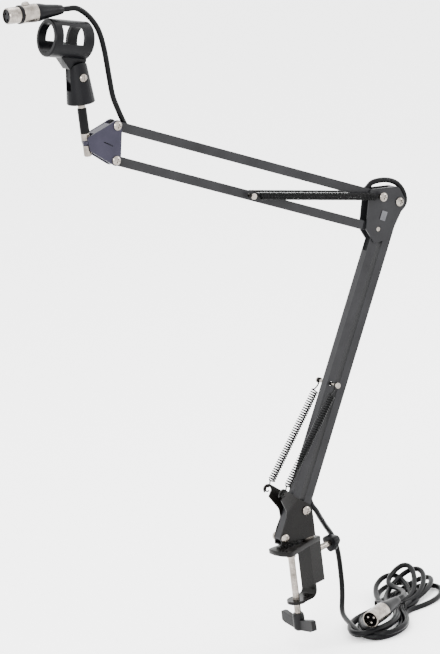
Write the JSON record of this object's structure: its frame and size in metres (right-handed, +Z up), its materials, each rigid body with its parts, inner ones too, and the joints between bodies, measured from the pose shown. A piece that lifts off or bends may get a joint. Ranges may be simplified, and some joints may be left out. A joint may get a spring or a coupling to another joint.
{
  "type": "microphone boom arm",
  "caption": "Spring-balanced two-section scissor boom arm with a desk clamp, a swivelling stem, a tilting microphone clip and a built-in connector cable.",
  "frame": {"origin": "where the clamp screw's axis meets the underside of the clamp's upper jaw plate", "axes": "+Z up along the clamp screw and the swivel stud, -X the way the upper arm and the clamp's jaw point, -Y the side the plug lies on"},
  "size_m": [0.4646, 0.1189, 0.7648],
  "materials": {
    "black_steel": "semi-gloss black paint",
    "grey_steel": "satin dark grey paint",
    "blue_steel": "satin bluish dark grey paint",
    "nickel": "bright nickel plate",
    "spring_steel": "darkened spring wire",
    "black_plastic": "satin moulded plastic",
    "knob_plastic": "satin dark grey plastic",
    "cable_rubber": "satin flexible jacket",
    "insert_plastic": "matt moulded plastic"
  },
  "bodies": {
    "clamp": {"clamp_frame": "black_steel", "cable_drop": "cable_rubber", "cable_hank": "cable_rubber", "hank_tie": "black_plastic", "cable_tail": "cable_rubber", "xlr_plug_shell": "nickel", "xlr_plug_insert": "insert_plastic", "xlr_plug_pin_1": "nickel", "xlr_plug_pin_2": "nickel", "xlr_plug_pin_3": "nickel", "xlr_plug_boot": "black_plastic"},
    "screw": {"clamp_screw": "nickel", "clamp_wing_knob": "knob_plastic"},
    "pad": {"clamp_pad": "nickel"},
    "lock": {"lock_screw": "nickel", "lock_knob": "black_plastic"},
    "lock_tip": {"lock_tip": "black_plastic"},
    "base": {"base_bracket": "black_steel", "base_stud": "nickel", "swivel_washer": "nickel", "base_front_bolt": "nickel", "base_rear_bolt": "nickel", "cable_swivel": "cable_rubber", "lower_spring_near": "spring_steel", "lower_spring_far": "spring_steel"},
    "front_bar": {"lower_front_bar": "grey_steel", "lower_spring_pin": "nickel"},
    "rear_bar": {"lower_rear_bar": "grey_steel", "cable_base": "cable_rubber", "cable_lower": "cable_rubber"},
    "elbow": {"elbow_bracket": "grey_steel", "elbow_rear_bolt": "nickel", "elbow_top_bolt": "nickel", "elbow_shared_pin": "nickel", "cable_elbow": "cable_rubber", "upper_spring_near": "spring_steel", "upper_spring_far": "spring_steel"},
    "top_bar": {"upper_top_bar": "grey_steel", "cable_clip": "black_plastic", "cable_upper": "cable_rubber"},
    "bottom_bar": {"upper_bottom_bar": "grey_steel", "upper_spring_pin": "nickel"},
    "head": {"head_bracket": "blue_steel", "head_top_bolt": "nickel", "head_low_bolt": "nickel"},
    "stem": {"stem_stud": "nickel", "stem_collar": "nickel", "stem_tube": "black_plastic", "stem_thread": "nickel", "clip_handle": "black_plastic", "clip_screw": "nickel"},
    "clip": {"clip_body": "black_plastic", "xlr_socket_shell": "nickel", "xlr_socket_gasket": "black_plastic", "xlr_socket_insert": "insert_plastic", "xlr_socket_boot": "black_plastic", "cable_head": "cable_rubber"},
    "latch": {"xlr_latch": "nickel"}
  },
  "joints": [
    {"name": "swivel", "type": "hinge", "parent": "clamp", "child": "base", "pos_m": [0.02911, 0.00726, 0], "axis": [0, 0, 1], "range_deg": [-150, 150], "deforming": ["cable_swivel"]},
    {"name": "lower_arm", "type": "hinge", "parent": "base", "child": "rear_bar", "pos_m": [0.02631, 0.00726, 0.0384], "axis": [0, 1, 0], "range_deg": [-75, 8], "deforming": ["cable_base"]},
    {"name": "lower_arm_front", "type": "hinge", "parent": "base", "child": "front_bar", "pos_m": [-0.00489, 0.00726, 0.015], "axis": [0, 1, 0], "range_deg": [-75, 8], "deforming": ["lower_spring_near", "lower_spring_far"]},
    {"name": "elbow_level", "type": "hinge", "parent": "rear_bar", "child": "elbow", "pos_m": [0.19331, 0.00726, 0.34599], "axis": [0, 1, 0], "range_deg": [-8, 75]},
    {"name": "upper_arm", "type": "hinge", "parent": "elbow", "child": "top_bar", "pos_m": [0.16891, 0.00726, 0.35789], "axis": [0, 1, 0], "range_deg": [-50, 50], "deforming": ["cable_elbow"]},
    {"name": "upper_arm_bottom", "type": "hinge", "parent": "elbow", "child": "bottom_bar", "pos_m": [0.16211, 0.00726, 0.32259], "axis": [0, 1, 0], "range_deg": [-50, 50], "deforming": ["upper_spring_near", "upper_spring_far"]},
    {"name": "head_level", "type": "hinge", "parent": "top_bar", "child": "head", "pos_m": [-0.14751, 0.00726, 0.50746], "axis": [0, 1, 0], "range_deg": [-50, 50]},
    {"name": "stem_swivel", "type": "hinge", "parent": "head", "child": "stem", "pos_m": [-0.18289, 0.00726, 0.4943], "axis": [0, 0, 1], "range_deg": [-120, 120]},
    {"name": "clip_tilt", "type": "hinge", "parent": "stem", "child": "clip", "pos_m": [-0.18289, 0.00726, 0.566], "axis": [0, 1, 0], "range_deg": [-20, 20], "deforming": ["cable_head"]},
    {"name": "latch_press", "type": "slide", "parent": "clip", "child": "latch", "axis": [-0.0976, 0, -0.9952], "range_m": [0, 0.001], "stiffness_N_per_m": 800},
    {"name": "screw_travel", "type": "slide", "parent": "clamp", "child": "pad", "axis": [0, 0, -1], "range_m": [0, 0.045]},
    {"name": "screw_turn", "type": "hinge", "parent": "pad", "child": "screw", "pos_m": [0, 0, 0], "axis": [0, 0, -1], "range_deg": [0, 10800]},
    {"name": "lock_travel", "type": "slide", "parent": "clamp", "child": "lock_tip", "axis": [0.9703, 0.2419, 0], "range_m": [0, 0.006]},
    {"name": "lock_turn", "type": "hinge", "parent": "lock_tip", "child": "lock", "pos_m": [0.02911, 0.00726, -0.0125], "axis": [0.9703, 0.2419, 0], "range_deg": [0, 2160]}
  ],
  "couplings": [
    {"joint": "lower_arm_front", "follows": "lower_arm", "ratio": 1},
    {"joint": "elbow_level", "follows": "lower_arm", "ratio": -1},
    {"joint": "upper_arm_bottom", "follows": "upper_arm", "ratio": 1},
    {"joint": "head_level", "follows": "upper_arm", "ratio": -1},
    {"joint": "screw_travel", "follows": "screw_turn", "m_per_rad": 0.00023873},
    {"joint": "lock_travel", "follows": "lock_turn", "m_per_rad": 0.00015915}
  ]
}
